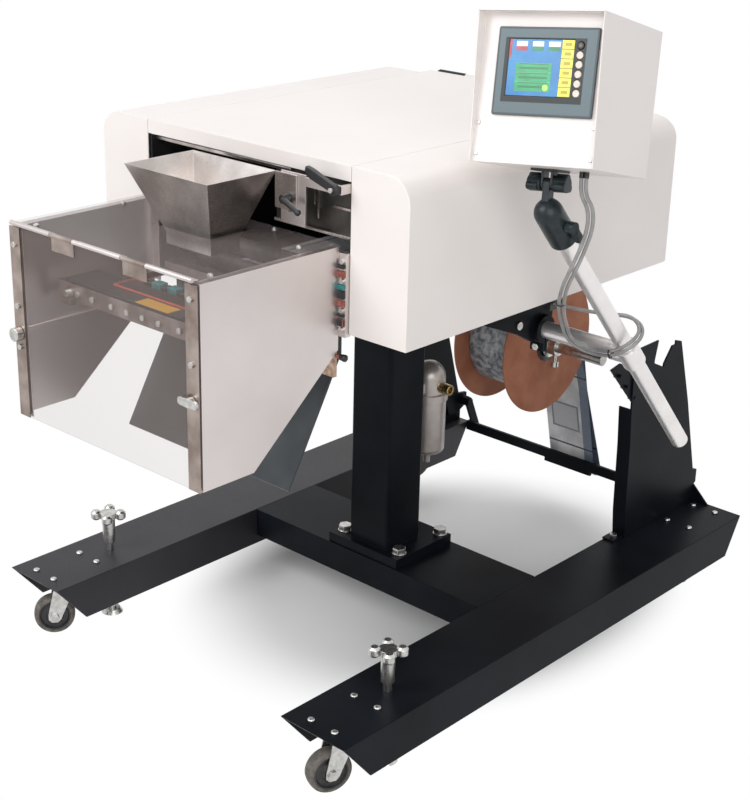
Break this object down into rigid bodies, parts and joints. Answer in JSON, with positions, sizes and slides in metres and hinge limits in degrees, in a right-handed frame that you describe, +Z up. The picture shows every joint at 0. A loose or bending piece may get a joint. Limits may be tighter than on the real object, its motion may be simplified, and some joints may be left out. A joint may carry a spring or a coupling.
{
  "type": "automatic bagging machine",
  "caption": "Wheeled stand with a white bagging head, guarded sealing bay with funnel, roll-fed film and an operator box on a mast.",
  "frame": {"origin": "on the floor, on the machine's centre line, 20 mm in front of the column's middle", "axes": "+Z up; -Y towards the operator's front with guard and funnel; +X towards the side of the operator box"},
  "size_m": [1.0646, 1.3956, 1.2923],
  "materials": {
    "black_paint": "satin",
    "white_paint": "satin",
    "stainless": "brushed",
    "zinc": "plated",
    "cast_grey": "cast",
    "aluminium": "satin",
    "tyre": "matt",
    "rubber": "matt",
    "black_plastic": "satin",
    "clear": "clear",
    "film": "gloss",
    "board": "matt",
    "key": "satin",
    "cable": "satin"
  },
  "bodies": {
    "stand": {"leg_near": "black_paint", "leg_far": "black_paint", "upright_near": "black_paint", "upright_far": "black_paint", "side_cover_near": "white_paint", "side_cover_far": "white_paint", "cross_beam": "black_paint", "column": "black_paint", "base_bolts": "zinc", "caster_plates": "zinc", "head_chassis": "stainless", "guard_sides": "stainless", "guard_top": "clear", "guard_fittings": "stainless", "seal_bar": "stainless", "chute": "black_paint", "funnel_bracket": "stainless", "roll_hanger": "black_paint", "film_web": "film", "arm_bracket": "black_paint", "air_filter": "zinc", "cables": "cable"},
    "lid": {"top_cover": "white_paint"},
    "guard_front": {"guard_front": "clear"},
    "seal_jaw": {"seal_jaw": "stainless"},
    "funnel": {"funnel": "stainless"},
    "bag_roll": {"bag_roll_flanges": "board", "bag_roll_film": "film"},
    "dancer": {"dancer_frame": "black_paint"},
    "panel": {"panel_box": "white_paint"},
    "jack_near": {"jack_near": "cast_grey"},
    "guard_knob_near": {"guard_knob_near": "zinc"},
    "tilt_knob_near": {"tilt_knob_near": "black_plastic"},
    "jack_far": {"jack_far": "cast_grey"},
    "guard_knob_far": {"guard_knob_far": "zinc"},
    "tilt_knob_far": {"tilt_knob_far": "black_plastic"},
    "caster_fork_front_near": {"caster_fork_front_near": "zinc"},
    "caster_wheel_front_near": {"caster_wheel_front_near": "tyre"},
    "caster_fork_front_far": {"caster_fork_front_far": "zinc"},
    "caster_wheel_front_far": {"caster_wheel_front_far": "tyre"},
    "caster_fork_rear_near": {"caster_fork_rear_near": "zinc"},
    "caster_wheel_rear_near": {"caster_wheel_rear_near": "tyre"},
    "caster_fork_rear_far": {"caster_fork_rear_far": "zinc"},
    "caster_wheel_rear_far": {"caster_wheel_rear_far": "tyre"},
    "drive_roller": {"drive_roller": "rubber"},
    "nip_roller": {"nip_roller": "rubber"},
    "funnel_toggle": {"funnel_toggle": "black_plastic"},
    "funnel_clamp": {"funnel_clamp": "black_plastic"},
    "dancer_roller": {"dancer_roller": "aluminium"},
    "infeed_roller": {"infeed_roller": "aluminium"},
    "arm": {"arm": "aluminium"},
    "mast": {"mast": "aluminium"},
    "mast_head": {"mast_head": "black_plastic"},
    "mast_knob": {"mast_knob": "black_plastic"},
    "panel_key_1": {"panel_key_1": "key"},
    "panel_key_2": {"panel_key_2": "key"},
    "panel_key_3": {"panel_key_3": "key"},
    "panel_key_4": {"panel_key_4": "key"},
    "panel_key_5": {"panel_key_5": "key"},
    "panel_key_6": {"panel_key_6": "key"}
  },
  "joints": [
    {"name": "caster_swivel_front_near", "type": "hinge", "parent": "stand", "child": "caster_fork_front_near", "pos_m": [0.377, -0.495, 0.1], "axis": [0, 0, 1], "continuous": true},
    {"name": "wheel_spin_front_near", "type": "hinge", "parent": "caster_fork_front_near", "child": "caster_wheel_front_near", "pos_m": [0.36607, -0.52078, 0.04], "axis": [0.9207, -0.3903, 0], "continuous": true},
    {"name": "caster_swivel_front_far", "type": "hinge", "parent": "stand", "child": "caster_fork_front_far", "pos_m": [-0.377, -0.495, 0.1], "axis": [0, 0, 1], "continuous": true},
    {"name": "wheel_spin_front_far", "type": "hinge", "parent": "caster_fork_front_far", "child": "caster_wheel_front_far", "pos_m": [-0.3938, -0.5174, 0.04], "axis": [0.8, -0.6, 0], "continuous": true},
    {"name": "caster_swivel_rear_near", "type": "hinge", "parent": "stand", "child": "caster_fork_rear_near", "pos_m": [0.377, 0.584, 0.1], "axis": [0, 0, 1], "continuous": true},
    {"name": "wheel_spin_rear_near", "type": "hinge", "parent": "caster_fork_rear_near", "child": "caster_wheel_rear_near", "pos_m": [0.3826, 0.55656, 0.04], "axis": [0.9798, 0.2, 0], "continuous": true},
    {"name": "caster_swivel_rear_far", "type": "hinge", "parent": "stand", "child": "caster_fork_rear_far", "pos_m": [-0.377, 0.584, 0.1], "axis": [0, 0, 1], "continuous": true},
    {"name": "wheel_spin_rear_far", "type": "hinge", "parent": "caster_fork_rear_far", "child": "caster_wheel_rear_far", "pos_m": [-0.38543, 0.5573, 0.04], "axis": [0.9536, -0.3011, 0], "continuous": true},
    {"name": "jack_lift_near", "type": "slide", "parent": "stand", "child": "jack_near", "axis": [0, 0, 1], "range_m": [0, 0.025]},
    {"name": "jack_lift_far", "type": "slide", "parent": "stand", "child": "jack_far", "axis": [0, 0, 1], "range_m": [0, 0.025]},
    {"name": "lid_swing", "type": "hinge", "parent": "stand", "child": "lid", "pos_m": [0, 0.416, 1.027], "axis": [-1, 0, 0], "range_deg": [0, 80]},
    {"name": "guard_front_swing", "type": "hinge", "parent": "stand", "child": "guard_front", "pos_m": [0, -0.679, 0.902], "axis": [-1, 0, 0], "range_deg": [0, 100]},
    {"name": "guard_knob_turn_near", "type": "hinge", "parent": "guard_front", "child": "guard_knob_near", "pos_m": [0.2195, -0.68, 0.709], "axis": [0, 1, 0], "continuous": true},
    {"name": "guard_knob_turn_far", "type": "hinge", "parent": "guard_front", "child": "guard_knob_far", "pos_m": [-0.2195, -0.68, 0.709], "axis": [0, 1, 0], "continuous": true},
    {"name": "seal_jaw_slide", "type": "slide", "parent": "stand", "child": "seal_jaw", "axis": [0, 1, 0], "range_m": [0, 0.193]},
    {"name": "funnel_height", "type": "slide", "parent": "stand", "child": "funnel", "axis": [0, 0, 1], "range_m": [-0.02, 0.02]},
    {"name": "funnel_clamp_turn", "type": "hinge", "parent": "funnel", "child": "funnel_clamp", "pos_m": [0.132, -0.386, 0.96], "axis": [0, 1, 0], "range_deg": [-60, 60]},
    {"name": "funnel_toggle_lift", "type": "hinge", "parent": "stand", "child": "funnel_toggle", "pos_m": [0.236, -0.39, 0.993], "axis": [0, 1, 0], "range_deg": [0, 80]},
    {"name": "drive_roller_spin", "type": "hinge", "parent": "stand", "child": "drive_roller", "pos_m": [0, -0.3, 0.784], "axis": [1, 0, 0], "continuous": true},
    {"name": "nip_roller_spin", "type": "hinge", "parent": "stand", "child": "nip_roller", "pos_m": [0, -0.3, 0.8176], "axis": [1, 0, 0], "continuous": true},
    {"name": "infeed_roller_spin", "type": "hinge", "parent": "stand", "child": "infeed_roller", "pos_m": [0, 0.5, 0.788], "axis": [1, 0, 0], "continuous": true},
    {"name": "bag_roll_spin", "type": "hinge", "parent": "stand", "child": "bag_roll", "pos_m": [0, 0.452, 0.487], "axis": [1, 0, 0], "continuous": true},
    {"name": "dancer_swing", "type": "hinge", "parent": "stand", "child": "dancer", "pos_m": [0, 0.655, 0.195], "axis": [1, 0, 0], "range_deg": [0, 50], "deforming": ["film_web"]},
    {"name": "dancer_roller_spin", "type": "hinge", "parent": "dancer", "child": "dancer_roller", "pos_m": [0, 0.69, 0.116], "axis": [1, 0, 0], "continuous": true},
    {"name": "arm_turn", "type": "hinge", "parent": "stand", "child": "arm", "pos_m": [0.3, 0.105, 0.661], "axis": [1, 0, 0], "range_deg": [-30, 8], "deforming": ["cables"]},
    {"name": "mast_slide", "type": "slide", "parent": "arm", "child": "mast", "axis": [0, -0.6656, 0.7463], "range_m": [-0.04, 0.15], "deforming": ["cables"]},
    {"name": "mast_head_turn", "type": "hinge", "parent": "mast", "child": "mast_head", "pos_m": [0.492, -0.14794, 0.94459], "axis": [0, -0.6656, 0.7463], "range_deg": [-60, 0], "deforming": ["cables"]},
    {"name": "mast_knob_turn", "type": "hinge", "parent": "mast_head", "child": "mast_knob", "pos_m": [0.516, -0.14794, 0.94459], "axis": [1, 0, 0], "range_deg": [-90, 90]},
    {"name": "panel_tilt", "type": "hinge", "parent": "mast_head", "child": "panel", "pos_m": [0.4862, -0.1634, 1.0114], "axis": [0.985, 0.1502, 0.0843], "range_deg": [-12, 25], "deforming": ["cables"]},
    {"name": "tilt_knob_turn_near", "type": "hinge", "parent": "panel", "child": "tilt_knob_near", "pos_m": [0.4862, -0.1634, 1.0114], "axis": [0.985, 0.1502, 0.0843], "continuous": true},
    {"name": "tilt_knob_turn_far", "type": "hinge", "parent": "panel", "child": "tilt_knob_far", "pos_m": [0.4862, -0.1634, 1.0114], "axis": [0.985, 0.1502, 0.0843], "continuous": true},
    {"name": "key_press_1", "type": "slide", "parent": "panel", "child": "panel_key_1", "axis": [-0.1246, 0.9592, -0.2538], "range_m": [0, 0.0015], "stiffness_N_per_m": 800},
    {"name": "key_press_2", "type": "slide", "parent": "panel", "child": "panel_key_2", "axis": [-0.1246, 0.9592, -0.2538], "range_m": [0, 0.0015], "stiffness_N_per_m": 800},
    {"name": "key_press_3", "type": "slide", "parent": "panel", "child": "panel_key_3", "axis": [-0.1246, 0.9592, -0.2538], "range_m": [0, 0.0015], "stiffness_N_per_m": 800},
    {"name": "key_press_4", "type": "slide", "parent": "panel", "child": "panel_key_4", "axis": [-0.1246, 0.9592, -0.2538], "range_m": [0, 0.0015], "stiffness_N_per_m": 800},
    {"name": "key_press_5", "type": "slide", "parent": "panel", "child": "panel_key_5", "axis": [-0.1246, 0.9592, -0.2538], "range_m": [0, 0.0015], "stiffness_N_per_m": 800},
    {"name": "key_press_6", "type": "slide", "parent": "panel", "child": "panel_key_6", "axis": [-0.1246, 0.9592, -0.2538], "range_m": [0, 0.0015], "stiffness_N_per_m": 800}
  ],
  "couplings": [
    {"joint": "nip_roller_spin", "follows": "drive_roller_spin", "ratio": -1}
  ]
}
